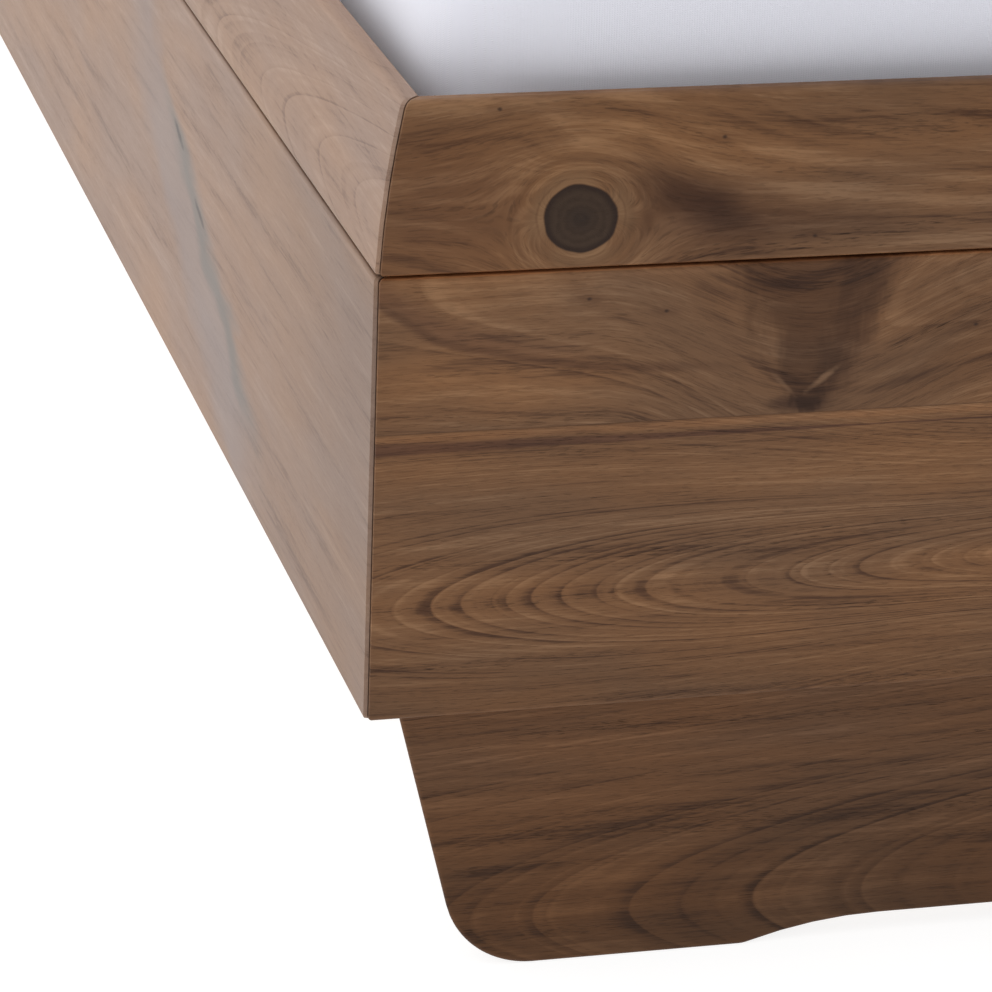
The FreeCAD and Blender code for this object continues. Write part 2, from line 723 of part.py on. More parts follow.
def build():
    parts = frame_boards()
    rails = [name for name in parts if name.endswith("rail")]
    side_rails = [name for name in parts if name.endswith("side_rail")]
    bored(parts, list(parts), group([mitre_splines(BORE_CLEARANCE), cap_dowels(BORE_CLEARANCE)]))
    parts["mitre_splines"] = mitre_splines()
    parts["cap_dowels"] = cap_dowels()

    parts["foot_runner"] = runner()
    parts["head_runner"] = turned(parts["foot_runner"], 180)
    runners = ["foot_runner", "head_runner"]
    parts["runner_bolts"] = runner_bolts(bolt)
    bored(parts, runners + ["foot_rail", "head_rail"], runner_bolts(bolt_bore))

    brackets = {f"{place}_bracket": one for place, one in four_corners(corner_bracket()).items()}
    parts.update(brackets)
    parts["bracket_screws"] = group(four_corners(bracket_screws(screw)).values())
    bracket_bores = group(four_corners(bracket_screws(screw_bore)).values())
    bored(parts, list(brackets) + side_rails + runners, bracket_bores)

    parts["left_ledge"] = ledge()
    parts["right_ledge"] = mirrored(ledge(), Vector(1, 0, 0))
    parts["ledge_screws"] = ledge_screws(screw)
    bored(parts, ["left_ledge", "right_ledge"] + side_rails, ledge_screws(screw_bore))

    parts["centre_beam"] = centre_beam().cut(leg_bolt(BORE_CLEARANCE))
    parts["centre_leg"] = centre_leg().cut(leg_bolt(BORE_CLEARANCE))
    parts["leg_bolt"] = leg_bolt()
    parts["leg_insert"] = leg_insert()
    parts["levelling_pad"] = levelling_pad()
    parts["levelling_stem"] = levelling_stem()
    parts["foot_beam_hanger"] = beam_hanger()
    parts["head_beam_hanger"] = mirrored(beam_hanger(), Vector(0, 1, 0))
    parts["hanger_screws"] = hanger_screws(screw)
    bored(parts, runners + ["foot_beam_hanger", "head_beam_hanger"], hanger_screws(screw_bore))

    parts.update(stringers())
    bored(parts, stringers(), slat_screws(screw_bore, slat_places()))
    for index, y in enumerate(slat_places()):
        parts[f"slat_{index + 1:02d}"] = slat(y).cut(slat_screws(screw_bore, [y]))
    parts["slat_screws"] = slat_screws(screw, slat_places())
    parts["mattress"] = mattress()

    parts.update(headboard_boards())
    parts["left_headboard_stile"] = stile()
    parts["right_headboard_stile"] = mirrored(stile(), Vector(1, 0, 0))
    stiles = ["left_headboard_stile", "right_headboard_stile"]
    parts["headboard_bolts"] = headboard_bolts(bolt)
    parts["headboard_screws"] = headboard_screws(screw)
    bored(parts, stiles + ["head_rail"], headboard_bolts(bolt_bore))
    bored(parts, stiles + list(headboard_boards()), headboard_screws(screw_bore))
    return parts


def centred(parts):
    """The parts moved so that the origin is under the middle of the whole bed."""
    box = Part.Compound(list(parts.values())).optimalBoundingBox()
    shift = Vector(-(box.XMin + box.XMax) / 2, -(box.YMin + box.YMax) / 2, 0)
    for shape in parts.values():
        shape.translate(shift)
    return parts


def export(parts):
    os.makedirs("parts", exist_ok=True)
    for name, shape in parts.items():
        shape.exportStep(f"parts/{name}.step")


export(centred(build()))
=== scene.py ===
import math

import bmesh
import bpy
from mathutils import Matrix, Vector, noise


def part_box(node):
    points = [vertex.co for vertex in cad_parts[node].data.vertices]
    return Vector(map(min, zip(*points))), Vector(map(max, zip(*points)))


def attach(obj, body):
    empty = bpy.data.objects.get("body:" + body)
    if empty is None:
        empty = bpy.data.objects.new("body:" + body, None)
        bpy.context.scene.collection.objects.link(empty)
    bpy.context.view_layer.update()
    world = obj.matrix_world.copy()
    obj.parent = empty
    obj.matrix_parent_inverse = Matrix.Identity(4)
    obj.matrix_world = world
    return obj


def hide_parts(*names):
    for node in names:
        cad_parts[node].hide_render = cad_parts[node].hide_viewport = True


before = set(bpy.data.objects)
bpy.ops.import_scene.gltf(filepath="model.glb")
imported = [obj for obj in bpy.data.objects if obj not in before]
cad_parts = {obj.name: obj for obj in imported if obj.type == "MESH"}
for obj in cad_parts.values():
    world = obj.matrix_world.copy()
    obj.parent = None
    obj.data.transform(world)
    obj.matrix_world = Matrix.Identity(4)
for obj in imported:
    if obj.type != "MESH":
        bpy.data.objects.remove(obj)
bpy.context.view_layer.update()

# A low walnut bed. Lengths are in metres. The wood's features are placed in board coordinates, measured
# from the lower outer corner of the rails at the foot's left: u along the grain, v up the board and w in.

SIDE_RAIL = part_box("left_side_rail")
FOOT_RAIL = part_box("foot_rail")
FOOT_LEFT = Vector((SIDE_RAIL[0].x, FOOT_RAIL[0].y, FOOT_RAIL[0].z))
CAP_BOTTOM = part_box("foot_cap")[0].z - FOOT_LEFT.z
CAP_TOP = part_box("foot_cap")[1].z - FOOT_LEFT.z
GLUE_LINE = 0.1310
KNOT_CENTRE = (0.0875, 0.2218)
KNOT_RADIUS = 0.0158
KNOT_FLOW_RADIUS = 0.027
CROTCH_U = 0.192


# Node trees as arithmetic


class Field:
    """A number or colour that shader nodes work out, so that fields can be added and multiplied."""

    def __init__(self, graph, socket):
        self.graph = graph
        self.socket = socket

    def __add__(self, other):
        return self.graph.math("ADD", self, other)

    def __radd__(self, other):
        return self.graph.math("ADD", other, self)

    def __sub__(self, other):
        return self.graph.math("SUBTRACT", self, other)

    def __rsub__(self, other):
        return self.graph.math("SUBTRACT", other, self)

    def __mul__(self, other):
        return self.graph.math("MULTIPLY", self, other)

    def __rmul__(self, other):
        return self.graph.math("MULTIPLY", other, self)

    def __truediv__(self, other):
        return self.graph.math("DIVIDE", self, other)


class Graph:
    """Makes nodes in a tree. Numbers, colours and fields may be given for any input."""

    def __init__(self, tree):
        self.tree = tree

    def put(self, socket, value):
        if isinstance(value, Field):
            self.tree.links.new(value.socket, socket)
        elif isinstance(value, tuple) and socket.type == "RGBA":
            socket.default_value = (*value, 1)
        else:
            socket.default_value = value

    def node(self, kind, inputs=(), output=0, **settings):
        made = self.tree.nodes.new(kind)
        for name, value in settings.items():
            setattr(made, name, value)
        for key, value in dict(inputs).items():
            self.put(made.inputs[key], value)
        return Field(self, made.outputs[output])

    def math(self, operation, *values):
        return self.node("ShaderNodeMath", enumerate(values), operation=operation)

    def root(self, value):
        return self.math("SQRT", value)

    def smooth(self, value, low, high):
        """0 at low and 1 at high, with a soft step between; low may be the larger."""
        inputs = {"Value": value, "From Min": low, "From Max": high}
        return self.node("ShaderNodeMapRange", inputs, interpolation_type="SMOOTHSTEP")

    def clamp(self, value):
        return self.node("ShaderNodeClamp", {0: value})

    def point(self, x, y, z):
        return self.node("ShaderNodeCombineXYZ", {0: x, 1: y, 2: z})

    def noise(self, place, detail=2.0, roughness=0.5):
        inputs = {"Vector": place, "Scale": 1.0, "Detail": detail, "Roughness": roughness}
        return self.node("ShaderNodeTexNoise", inputs)

    def line_noise(self, place, detail=1.0):
        inputs = {"W": place, "Scale": 1.0, "Detail": detail, "Roughness": 0.5}
        return self.node("ShaderNodeTexNoise", inputs, noise_dimensions="1D")

    def blend(self, factor, first, second, mode="MIX"):
        inputs = {0: factor, 6: first, 7: second}
        return self.node("ShaderNodeMix", inputs, 2, data_type="RGBA", blend_type=mode, clamp_factor=True)

    def place(self):
        """The x, y and z of the shaded point, in metres in the frame of the CAD."""
        source = self.tree.nodes.new("ShaderNodeTexCoord")
        split = self.tree.nodes.new("ShaderNodeSeparateXYZ")
        self.tree.links.new(source.outputs["Object"], split.inputs[0])
        return [Field(self, split.outputs[axis]) for axis in range(3)]


def new_material(name):
    material = bpy.data.materials.new(name)
    material.use_nodes = True
    return material, Graph(material.node_tree), material.node_tree.nodes["Principled BSDF"]


def finish_surface(graph, shader, colour, roughness, height, depth):
    """Joins a surface's colour, roughness and relief to its shader. depth is the relief's in metres."""
    graph.put(shader.inputs["Base Color"], colour)
    graph.put(shader.inputs["Roughness"], roughness)
    inputs = {"Strength": 1.0, "Distance": depth, "Height": height}
    graph.put(shader.inputs["Normal"], graph.node("ShaderNodeBump", inputs))


# Wood

WALNUT = {
    "light": (0.246, 0.140, 0.075),
    "middle": (0.168, 0.087, 0.043),
    "dark": (0.072, 0.034, 0.018),
    "warm": (1.12, 1.01, 0.88),
    "cool": (0.86, 0.86, 0.90),
    "pores": 0.8,
}
# Painted shade: the runner's walnut is the foot walnut made darker, for the shade under and behind the foot
# rail.
RUNNER_WALNUT_PAINTED_SHADE = dict(
    WALNUT,
    light=(0.190, 0.100, 0.052),
    middle=(0.128, 0.063, 0.030),
    dark=(0.056, 0.026, 0.013),
)
# Painted sheen: the sides' walnut is the foot walnut made lighter and greyer, with fewer pores showing, for
# the white room's grazing reflection on the side boards.
SIDE_WALNUT_PAINTED_SHEEN = {
    "light": (0.375, 0.258, 0.190),
    "middle": (0.312, 0.204, 0.146),
    "dark": (0.205, 0.127, 0.090),
    "warm": (1.06, 1.00, 0.93),
    "cool": (0.94, 0.96, 1.02),
    "pores": 0.30,
}
SPRUCE = {
    "light": (0.700, 0.520, 0.320),
    "middle": (0.600, 0.410, 0.225),
    "dark": (0.430, 0.255, 0.120),
    "warm": (1.05, 1.00, 0.92),
    "cool": (0.94, 0.96, 1.00),
    "pores": 0.15,
}
BEECH = {
    "light": (0.620, 0.430, 0.280),
    "middle": (0.540, 0.350, 0.215),
    "dark": (0.410, 0.245, 0.140),
    "warm": (1.05, 1.00, 0.94),
    "cool": (0.93, 0.95, 1.00),
    "pores": 0.7,
}

# How a plank's rings run. They make nested arches whose tips lie along the centre line, opening towards
# larger u (opens = 1) or smaller u (-1). width is an arch's girth and blunt what it gains towards u = 0.
# spacing is the usual distance between tips; rings are the tips of the rings that stand out, and dip is
# where a branch drew the grain down: (u, reach, depth).
PLAIN = {
    "seed": 0.0,
    "centre": 0.10,
    "drift": 0.0,
    "width": 0.0105,
    "blunt": 0.0,
    "opens": 1,
    "spacing": 0.016,
    "sway": 0.004,
    "bands": 0.8,
    "lines": 0.8,
    "rings": (),
    "dip": None,
    "eyes": (),
}
# A ring that stands out darkens over RING_RISE up to its tip, ends within RING_STEP, and then a pale field
# fades over RING_FADE.
RING_STEP = 0.0016
RING_RISE = 0.008
RING_FADE = 0.016
# How far apart along the grain nodes of one varied material may be cut from the tree.
VARIED_SHIFT = 3.7
SEAM_HALF_WIDTH = 0.00015
WOOD_RELIEF = 0.00018
WOOD_SHINE = 0.16


def distance_from(graph, u, v, centre, flat=1.0):
    """How far (u, v) is from a centre; flat below 1 gives curves that are longer along the grain."""
    along = (u - centre[0]) * flat
    across = v - centre[1]
    return graph.root(along * along + across * across)


def flow_past(graph, u, v, knots):
    """v as the grain sees it: lines of the grain part round each knot (u, v, radius)."""
    for knot_u, knot_v, radius in knots:
        reach = distance_from(graph, u, v, (knot_u, knot_v), 0.75)
        v = v - (v - knot_v) * (radius * radius) / (reach * reach + radius * radius * 0.2)
    return v


def standing_rings(graph, tip, look):
    """Dark fields that deepen up to each ring that stands out, and pale ones that fade inside it."""
    dark = pale = 0.0
    for ring in look["rings"]:
        step = look["opens"] * RING_STEP
        before = graph.smooth(tip, ring - look["opens"] * RING_RISE, ring)
        dark = before * graph.smooth(tip, ring + step, ring) + dark
        inside = graph.smooth(tip, ring, ring + step)
        pale = inside * graph.smooth(tip, ring + look["opens"] * RING_FADE, ring + step) + pale
    return dark, pale


def grain(graph, u, v, w, wood, look):
    """The colour and relief of one plank of the given wood, with its rings as look says."""
    seed = look["seed"]
    if look["dip"]:
        place, reach, depth = look["dip"]
        v = v + graph.smooth(graph.math("ABSOLUTE", u - place), reach, 0.0) * depth
    bend = graph.noise(graph.point(u * 3.4, v * 13, w * 6 + seed), 2.0) - 0.5
    ripple = graph.noise(graph.point(u * 24, v * 60, w * 20 + seed), 3.0) - 0.5
    lay = v + bend * (2 * look["sway"]) + ripple * (0.5 * look["sway"])
    off_centre = lay - (look["centre"] + u * look["drift"])
    girth = graph.smooth(u, 0.30, -0.02) * look["blunt"] + look["width"]
    tip = u - (off_centre * off_centre + w * w * 0.4) * look["opens"] / girth
    phase = tip / look["spacing"] + seed
    for centre, reach, count in look["eyes"]:
        phase = phase + graph.smooth(distance_from(graph, u, v, centre), reach, 0.0) * count

    broad = graph.line_noise(phase * 0.36, 2.0) - 0.5
    narrow = graph.line_noise(phase * 1.7 + 7, 3.0) - 0.5
    cycle = graph.math("FRACT", phase + broad * 1.7)
    chosen = graph.smooth(graph.line_noise(phase * 0.63 + 31), 0.38, 0.66) * look["lines"]
    late = graph.smooth(cycle, 0.55, 0.92) * graph.smooth(cycle, 1.0, 0.94) * chosen
    early = graph.smooth(cycle, 0.0, 0.06) * graph.smooth(cycle, 0.40, 0.06) * chosen
    dark, pale = standing_rings(graph, tip, look)

    streak = graph.noise(graph.point(u * 3.1, lay * 105, w * 60 + seed), 3.0) - 0.5
    thread = graph.noise(graph.point(u * 13, v * 400, w * 400 + seed), 3.0, 0.6) - 0.5
    fibre = graph.noise(graph.point(u * 60, v * 1150, w * 1150 + seed), 2.0, 0.6) - 0.5
    weather = graph.noise(graph.point(u * 5.5, lay * 21, w * 9 + seed * 2), 3.0)
    fleck = graph.noise(graph.point(u * 170, v * 1500, w * 1500 + seed), 1.0)
    split = graph.noise(graph.point(u * 90, v * 1000, w * 1000 + seed + 5), 1.0)
    crowd = 0.40 + late * 0.5 + graph.smooth(streak, -0.03, -0.18) * 0.6
    pores = graph.smooth(fleck, 0.54, 0.68) + graph.smooth(split, 0.60, 0.72) * 0.8
    pores = pores * crowd * wood["pores"]

    tone = 0.50 + look["bands"] * (broad * 0.95 + narrow * 0.60) + early * 0.14 - late * 0.20
    tone = tone + pale * 0.13 - dark * 0.24
    tone = graph.clamp(tone + streak * 0.98 + thread * 0.86 + fibre * 0.55)
    colour = graph.blend(graph.smooth(tone, 0.0, 0.5), wood["dark"], wood["middle"])
    colour = graph.blend(graph.smooth(tone, 0.5, 1.0), colour, wood["light"])
    tint = graph.blend(graph.smooth(weather, 0.30, 0.70), wood["warm"], wood["cool"])
    colour = graph.blend(1.0, colour, tint, "MULTIPLY")
    colour = graph.blend(pores * 0.50, colour, tuple(0.5 * part for part in wood["dark"]))
    return colour, fibre * 0.5 - pores * 0.8 - late * 0.1


def spot(graph, u, v, centre, reach, ragged=0.35, scale=60, lean=0.0):
    """1 at a centre (u, v) and 0 beyond the reach (along, across), with an uneven edge, leaning along v."""
    across = (v - centre[1] - (u - centre[0]) * lean) / reach[1]
    along = (u - centre[0]) / reach[0]
    wander = graph.noise(graph.point(u * scale * 0.6, v * scale, centre[0] * 40), 3.0, 0.6) - 0.5
    return graph.smooth(graph.root(along * along + across * across) + wander * (2 * ragged), 1.0, 0.15)


def stained(graph, colour, mask, tint):
    """The colour multiplied by a tint where the mask is 1."""
    return graph.blend(mask, colour, graph.blend(1.0, colour, tint, "MULTIPLY"))


def stains(graph, u, v, colour, places):
    """Tints the colour at each place: (centre, reach, lean, ragged, strength, tint)."""
    for centre, reach, lean, ragged, strength, tint in places:
        mask = spot(graph, u, v, centre, reach, ragged, lean=lean)
        colour = stained(graph, colour, mask * strength, tint)
    return colour


def knot(graph, u, v, colour, centre, radius):
    """A knot with faint rings, a dark rim and heart, and pale and dark collars of grain round it."""
    unround = graph.noise(graph.point(u * 60, v * 60, 3.0), 2.0) - 0.5
    reach = distance_from(graph, u, (v - centre[1]) * 1.13 + centre[1], centre) / radius + unround * 0.20
    uneven = graph.noise(graph.point(u * 34, v * 34, 8.0), 2.0)
    swirl = graph.math("SINE", reach * 13.0 + uneven * 5) * 0.5 + 0.5
    round_it = graph.smooth(reach, 2.5, 1.5) * graph.smooth(reach, 1.0, 1.3)
    collar = graph.smooth(reach, 1.75, 1.05) * graph.smooth(reach, 0.98, 1.05)
    colour = stained(graph, colour, swirl * round_it * 0.55, (0.60, 0.56, 0.55))
    colour = graph.blend(collar * graph.smooth(uneven, 0.25, 0.55) * 0.62, colour, (0.225, 0.128, 0.066))
    line = graph.smooth(graph.math("ABSOLUTE", reach - 1.22), 0.06, 0.0)
    colour = stained(graph, colour, line * uneven * 0.7, (0.50, 0.44, 0.42))
    speckle = graph.noise(graph.point(u * 420, v * 420, 9.0), 3.0)
    rings = graph.math("SINE", reach * 27 + uneven * 9 + speckle * 4) * 0.5 + 0.5
    heart = graph.blend(rings * 0.22 + speckle * 0.45, (0.032, 0.018, 0.011), (0.066, 0.040, 0.026))
    heart = graph.blend(graph.smooth(reach, 0.55, 0.05) * speckle, heart, (0.020, 0.013, 0.011))
    rim = graph.smooth(reach, 0.82, 0.95) * graph.smooth(reach, 1.08, 0.98)
    heart = graph.blend(rim * 0.75, heart, (0.022, 0.011, 0.008))
    return graph.blend(graph.smooth(reach, 1.06, 0.98), colour, heart)


def pin_knots(graph, u, v, colour, places):
    """A dark dot in a darker shade of grain at each place."""
    for centre in places:
        mark = spot(graph, u, v, centre, (0.0017, 0.0012), 0.2, 900)
        shade = spot(graph, u, v, centre, (0.012, 0.0035), 0.3, 300)
        colour = stained(graph, colour, shade * 0.45, (0.6, 0.55, 0.55))
        colour = graph.blend(mark * 0.8, colour, (0.030, 0.016, 0.011))
    return colour


def edge_highlights(graph, u, v, colour, edges):
    """A painted highlight: a slightly paler, bluish line along each edge at height v, where the rounding
    catches the light.
    """
    for edge in edges:
        gap = graph.math("ABSOLUTE", v - edge)
        uneven = graph.noise(graph.point(u * 26, v * 200, edge * 50), 3.0)
        # Painted highlight: the rounded edge caught by the light, unevenly along its length.
        rubbed_and_highlit = graph.smooth(gap, 0.0022, 0.0004) * uneven
        colour = stained(graph, colour, rubbed_and_highlit * 0.6, (1.35, 1.38, 1.42))
    return colour


def board_coordinates(graph, along, start):
    """u along the named axis, v up the board (or across an upright one) and w through it, from start."""
    x, y, z = graph.place()
    x, y, z = x - start.x, y - start.y, z - start.z
    return {"x": (x, z, y), "y": (y, z, x), "z": (z, x, y)}[along]


def open_groove(graph, v, colour):
    """The shadow groove's faces, where the fresh cut has stayed pale."""
    inside = graph.smooth(graph.math("ABSOLUTE", v - CAP_BOTTOM - 0.0006), 0.0014, 0.0005)
    return stained(graph, colour, inside * 0.9, (1.9, 1.65, 1.45))


def foot_cap_extras(graph, u, v, colour):
    """A dull area left of the knot, tan arcs over it, a dark flame to its right and the knot itself."""
    colour = stains(graph, u, v, colour, (
        ((0.028, 0.228), (0.052, 0.050), 0.0, 0.45, 0.80, (0.70, 0.66, 0.68)),
        ((0.092, 0.2500), (0.052, 0.014), 0.0, 0.35, 0.70, (1.26, 1.27, 1.24)),
        ((0.190, 0.2450), (0.090, 0.014), 0.0, 0.45, 0.45, (1.20, 1.20, 1.18)),
        ((0.142, 0.2190), (0.060, 0.026), -0.12, 0.30, 0.90, (0.60, 0.55, 0.55)),
        ((0.136, 0.2290), (0.036, 0.0160), -0.40, 0.30, 0.95, (0.50, 0.45, 0.46)),
        ((0.180, 0.2170), (0.085, 0.0100), -0.04, 0.40, 0.85, (0.62, 0.58, 0.58)),
    ))
    colour = knot(graph, u, v, colour, KNOT_CENTRE, KNOT_RADIUS)
    colour = open_groove(graph, v, colour)
    return pin_knots(graph, u, v, colour, ((0.150, 0.253), (0.0534, 0.2675), (0.190, 0.210)))


def corner_line(graph, u, v, colour):
    """A dark line of grain that curves down from the corner, under a plum shade."""
    wander = (graph.noise(graph.point(u * 30, v * 60, 6.0), 3.0) - 0.5) * 0.012
    fall = v - 0.1535 - graph.math("EXPONENT", u * (-1 / 0.042)) * 0.0365 + wander * 0.5
    line = graph.smooth(graph.math("ABSOLUTE", fall), 0.0038, 0.0004) * graph.smooth(u, 0.175, 0.11)
    above = graph.smooth(fall, 0.0, 0.004) * graph.smooth(fall, 0.016, 0.004)
    above = above * graph.smooth(u, 0.12, 0.04)
    colour = stained(graph, colour, line * 0.75, (0.52, 0.47, 0.50))
    return stained(graph, colour, above * 0.6, (0.70, 0.64, 0.70))


def crotch(graph, u, v, colour):
    """The dark fan of a crotch with two pale curls at its root, which the glue line cuts off."""
    ragged = (graph.noise(graph.point(u * 70, v * 22, 2.0), 3.0, 0.65) - 0.5) * 0.034
    half = 0.0070 + (v - 0.135) * 0.50
    fan = graph.smooth(graph.math("ABSOLUTE", u - 0.191 + ragged), half * 1.35, half * 0.45)
    core = u - 0.2035 - (v - 0.150) * 0.28 + ragged
    core = graph.smooth(graph.math("ABSOLUTE", core), 0.0165, 0.001) * graph.smooth(v, 0.136, 0.146)
    colour = stained(graph, colour, fan * 0.95, (0.50, 0.46, 0.45))
    colour = stained(graph, colour, core * 0.65, (0.52, 0.48, 0.50))
    root_of_fan = spot(graph, u, v, (0.190, 0.1350), (0.023, 0.0060), 0.5, 120)
    colour = stained(graph, colour, root_of_fan * 0.9, (0.34, 0.30, 0.32))
    curl = spot(graph, u, v, (0.1970, 0.1460), (0.0085, 0.0028), 0.6, 200, 0.75)
    colour = graph.blend(curl * 0.70, colour, (0.205, 0.115, 0.064))
    curl = spot(graph, u, v, (0.1800, 0.1440), (0.0070, 0.0022), 0.6, 200, -0.95)
    return graph.blend(curl * 0.45, colour, (0.190, 0.105, 0.058))


def foot_rail_upper_extras(graph, u, v, colour):
    """The corner's dark line, the crotch, a pale field left of it and a dark one to its right."""
    colour = corner_line(graph, u, v, colour)
    colour = crotch(graph, u, v, colour)
    colour = stains(graph, u, v, colour, (
        ((0.070, 0.160), (0.100, 0.040), -0.10, 0.40, 0.80, (1.26, 1.24, 1.18)),
        ((0.262, 0.165), (0.058, 0.050), 0.20, 0.45, 0.70, (0.74, 0.72, 0.72)),
    ))
    colour = open_groove(graph, v, colour)
    return pin_knots(graph, u, v, colour, ((0.092, 0.187), (0.126, 0.180), (0.265, 0.167)))


def foot_rail_lower_extras(graph, u, v, colour):
    """A pale line just under the glue line, a plum band below it that tapers, and two pale islands."""
    rough = (graph.noise(graph.point(u * 20, v * 500, 4.0), 3.0) - 0.5) * 0.0016
    pale = graph.smooth(graph.math("ABSOLUTE", v - 0.1286 + rough), 0.0024, 0.0006)
    half = graph.math("MAXIMUM", 0.0040 - u * 0.016, 0.0004)
    band = graph.smooth(graph.math("ABSOLUTE", v - 0.1240 + rough), half, half * 0.4)
    colour = stained(graph, colour, pale * 0.8, (1.34, 1.30, 1.24))
    colour = stained(graph, colour, band * 0.90, (0.56, 0.50, 0.58))
    colour = stained(graph, colour, graph.smooth(v, 0.045, 0.005), (0.84, 0.82, 0.80))
    return stains(graph, u, v, colour, (
        ((0.136, 0.0595), (0.020, 0.0030), 0.04, 0.15, 0.6, (1.22, 1.22, 1.20)),
        ((0.290, 0.0600), (0.042, 0.0050), 0.04, 0.15, 0.6, (1.22, 1.22, 1.20)),
    ))


def foot_runner_extras(graph, u, v, colour):
    """Darker towards the floor, partly the wood's own tone and partly painted shade for the light falling
    off there.
    """
    return stained(graph, colour, graph.smooth(v, -0.015, -0.125) * 0.95, (0.66, 0.61, 0.52))


def side_rail_extras(graph, u, v, colour):
    """A grey-green mineral streak in a wide, pale, bluish veil, and a darker end at the foot's corner."""
    colour = stained(graph, colour, graph.smooth(u, 0.42, 0.02) * 0.95, (0.76, 0.76, 0.76))
    wander = (graph.noise(graph.point(u * 11, v * 30, 5.0), 3.0) - 0.5) * 0.045
    off = v - 0.048 - (u - 0.272) * 0.43 + wander
    reach = graph.smooth(u, 0.21, 0.31) * graph.smooth(u, 0.66, 0.50)
    veil = graph.smooth(off, -0.075, -0.045) * graph.smooth(off, 0.022, -0.004) * reach
    core = graph.smooth(graph.math("ABSOLUTE", off), 0.018, 0.001) * graph.smooth(u, 0.52, 0.44) * reach
    colour = graph.blend(veil * 0.58, colour, (0.255, 0.215, 0.210))
    colour = graph.blend(core * 0.66, colour, (0.158, 0.150, 0.138))
    for centre in ((0.395, 0.104), (0.455, 0.129)):
        checks = spot(graph, u, v, centre, (0.020, 0.0035), 0.5, 260, 0.3)
        colour = graph.blend(checks * 0.7, colour, (0.060, 0.052, 0.048))
    return colour


def no_extras(graph, u, v, colour):
    return colour


def wood_material(name, along, start, wood, planks, knots=(), edges=(), varied=0.0):
    """A board of one or more planks, from the top down: (height of its lower side, look, extras).

    Nodes that share a material get different grain if it is varied: their rings' centres lie up to that
    far apart.
    """
    material, graph, shader = new_material(name)
    u, v, w = board_coordinates(graph, along, start)
    lay = flow_past(graph, u, v, knots)
    if varied:
        chance = graph.node("ShaderNodeObjectInfo", output="Random")
        lay = lay + (chance - 0.5) * varied
        u = u + chance * VARIED_SHIFT
    colour = height = above = None
    for bottom, look, extras in planks:
        plank_colour, plank_height = grain(graph, u, lay, w, wood, dict(PLAIN, **look))
        plank_colour = extras(graph, u, v, plank_colour)
        if above is None:
            colour, height = plank_colour, plank_height
        else:
            below = graph.smooth(v, above + SEAM_HALF_WIDTH, above - SEAM_HALF_WIDTH)
            seam = graph.smooth(graph.math("ABSOLUTE", v - above), 0.0005, 0.0001)
            colour = graph.blend(below, colour, plank_colour)
            colour = graph.blend(seam * 0.45, colour, wood["dark"])
            height = height + (plank_height - height) * below - seam * 0.6
        above = bottom
    # Painted highlights along the rounded edges of the board.
    colour = edge_highlights(graph, u, v, colour, edges)
    rubbed_and_highlit = graph.noise(graph.point(u * 12, v * 30, 2.0), 2.0) - 0.5
    roughness = 0.50 - height * 0.12 + rubbed_and_highlit * 0.10
    finish_surface(graph, shader, colour, roughness, height, WOOD_RELIEF)
    shader.inputs["Specular IOR Level"].default_value = WOOD_SHINE
    return material


# Metal, plastic and cloth

KNIT_PITCH = 0.0011
KNIT_RELIEF = 0.00008


def metal_material(name, colour, metallic, roughness, bump_scale, depth):
    """Coated or plated steel with a fine skin, faint scratches and uneven gloss."""
    material, graph, shader = new_material(name)
    x, y, z = graph.place()
    skin = graph.noise(graph.point(x * bump_scale, y * bump_scale, z * bump_scale), 3.0)
    cloud = graph.noise(graph.point(x * 45, y * 45, z * 45), 3.0)
    scratch = graph.smooth(graph.noise(graph.point(x * 1600, y * 130, z * 90), 1.0), 0.68, 0.76)
    shade = graph.blend(cloud * 0.5, colour, tuple(min(1, part * 1.35 + 0.01) for part in colour))
    shade = graph.blend(scratch * 0.3, shade, tuple(min(1, part * 1.8 + 0.04) for part in colour))
    gloss = roughness + (cloud - 0.5) * 0.18 - scratch * 0.08
    finish_surface(graph, shader, shade, gloss, skin - scratch * 0.4, depth)
    shader.inputs["Metallic"].default_value = metallic
    return material


def sheet_material():
    """Fine cotton jersey: rows of small knit loops, faint yarn unevenness and a soft sheen."""
    material, graph, shader = new_material("fitted_sheet")
    x, y, z = graph.place()
    pitch = 2 * math.pi / KNIT_PITCH
    across = x + y * 0.8
    wale = graph.math("SINE", across * pitch) * 0.5 + 0.5
    slack = graph.math("SINE", across * pitch) * 0.9
    course = graph.math("SINE", (z + y * 0.6 - x * 0.1) * (pitch * 1.15) + slack)
    loops = wale * (course * 0.5 + 0.5)
    yarn = graph.noise(graph.point(x * 400, y * 400, z * 400), 3.0)
    wash = graph.noise(graph.point(x * 5, y * 5, z * 8), 3.0)
    colour = graph.blend(loops * 0.10 + (yarn - 0.5) * 0.08, (0.815, 0.823, 0.908), (0.885, 0.893, 0.965))
    colour = graph.blend(graph.smooth(wash, 0.45, 0.75) * 0.10, colour, (0.80, 0.808, 0.895))
    finish_surface(graph, shader, colour, 0.86 - loops * 0.05, loops + yarn * 0.3, KNIT_RELIEF)
    shader.inputs["Sheen Weight"].default_value = 0.18
    shader.inputs["Sheen Roughness"].default_value = 0.5
    return material


# What each CAD node is made of


def assign(node, material):
    """Gives a CAD node one material in place of the plain one."""
    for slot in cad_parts[node].material_slots:
        slot.material = material


